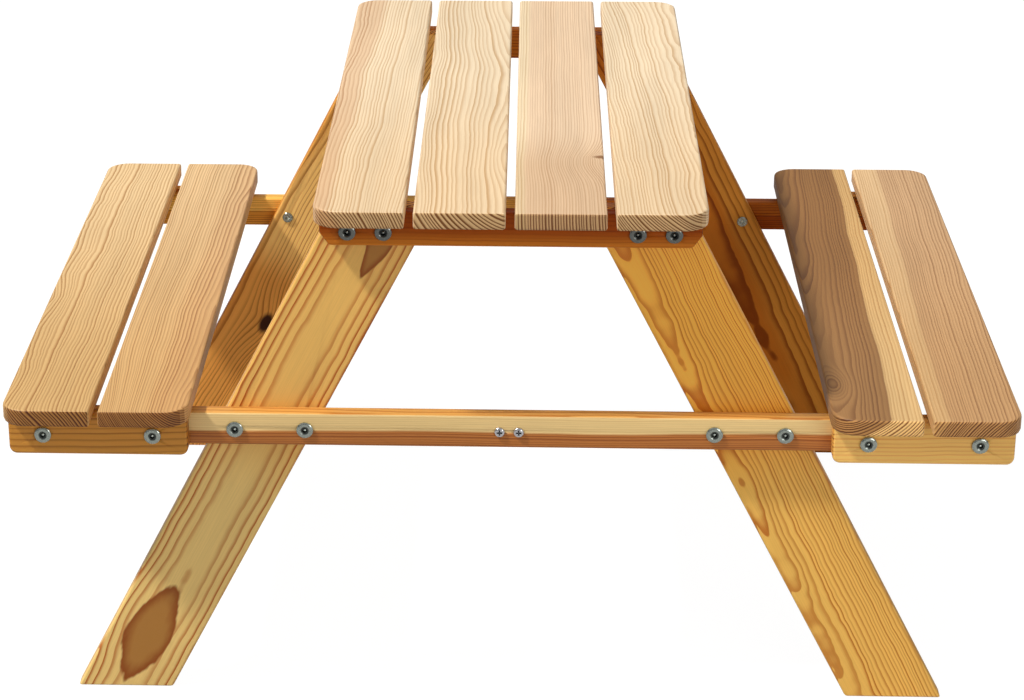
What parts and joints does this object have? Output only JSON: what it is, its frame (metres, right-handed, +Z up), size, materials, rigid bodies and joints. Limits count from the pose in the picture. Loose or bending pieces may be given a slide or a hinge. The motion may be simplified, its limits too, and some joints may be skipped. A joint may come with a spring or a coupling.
{
  "type": "children's picnic table with attached benches",
  "caption": "Low A-frame picnic table for children: slatted pine top with a slatted bench on each side, carried by slanted legs and cross rails.",
  "frame": {"origin": "on the floor under the middle of the table", "axes": "+X from the left bench to the right bench, +Y along the slats from front to rear, +Z up"},
  "size_m": [1.024, 0.75, 0.57],
  "materials": {
    "tabletop_pine": "satin",
    "bench_pine": "satin",
    "leg_pine": "satin",
    "frame_pine": "satin",
    "zinc_plated_steel": "satin",
    "screw_steel": "polished"
  },
  "bodies": {
    "root": {"tabletop_slat_1": "tabletop_pine", "tabletop_slat_2": "tabletop_pine", "tabletop_slat_3": "tabletop_pine", "tabletop_slat_4": "tabletop_pine", "bench_slat_left_outer": "bench_pine", "bench_slat_left_inner": "bench_pine", "bench_slat_right_outer": "bench_pine", "bench_slat_right_inner": "bench_pine", "leg_front_left": "leg_pine", "leg_front_right": "leg_pine", "leg_rear_left": "leg_pine", "leg_rear_right": "leg_pine", "tabletop_bearer_front": "frame_pine", "tabletop_bearer_rear": "frame_pine", "cross_rail_front": "frame_pine", "cross_rail_rear": "frame_pine", "bench_cleat_front_left": "frame_pine", "bench_cleat_front_right": "frame_pine", "bench_cleat_rear_left": "frame_pine", "bench_cleat_rear_right": "frame_pine", "bearer_bolt_front_left_outer": "zinc_plated_steel", "bearer_bolt_front_left_inner": "zinc_plated_steel", "bearer_bolt_front_right_outer": "zinc_plated_steel", "bearer_bolt_front_right_inner": "zinc_plated_steel", "bearer_bolt_rear_left_outer": "zinc_plated_steel", "bearer_bolt_rear_left_inner": "zinc_plated_steel", "bearer_bolt_rear_right_outer": "zinc_plated_steel", "bearer_bolt_rear_right_inner": "zinc_plated_steel", "rail_bolt_front_left_outer": "zinc_plated_steel", "rail_bolt_front_left_inner": "zinc_plated_steel", "rail_bolt_front_right_outer": "zinc_plated_steel", "rail_bolt_front_right_inner": "zinc_plated_steel", "rail_bolt_rear_left_outer": "zinc_plated_steel", "rail_bolt_rear_left_inner": "zinc_plated_steel", "rail_bolt_rear_right_outer": "zinc_plated_steel", "rail_bolt_rear_right_inner": "zinc_plated_steel", "cleat_bolt_front_left_outer": "zinc_plated_steel", "cleat_bolt_front_left_inner": "zinc_plated_steel", "cleat_bolt_front_right_outer": "zinc_plated_steel", "cleat_bolt_front_right_inner": "zinc_plated_steel", "cleat_bolt_rear_left_outer": "zinc_plated_steel", "cleat_bolt_rear_left_inner": "zinc_plated_steel", "cleat_bolt_rear_right_outer": "zinc_plated_steel", "cleat_bolt_rear_right_inner": "zinc_plated_steel", "slat_screw_front_1": "screw_steel", "slat_screw_front_2": "screw_steel", "slat_screw_front_3": "screw_steel", "slat_screw_front_4": "screw_steel", "slat_screw_rear_1": "screw_steel", "slat_screw_rear_2": "screw_steel", "slat_screw_rear_3": "screw_steel", "slat_screw_rear_4": "screw_steel", "rail_centre_screw_left": "screw_steel", "rail_centre_screw_right": "screw_steel"}
  },
  "joints": []
}
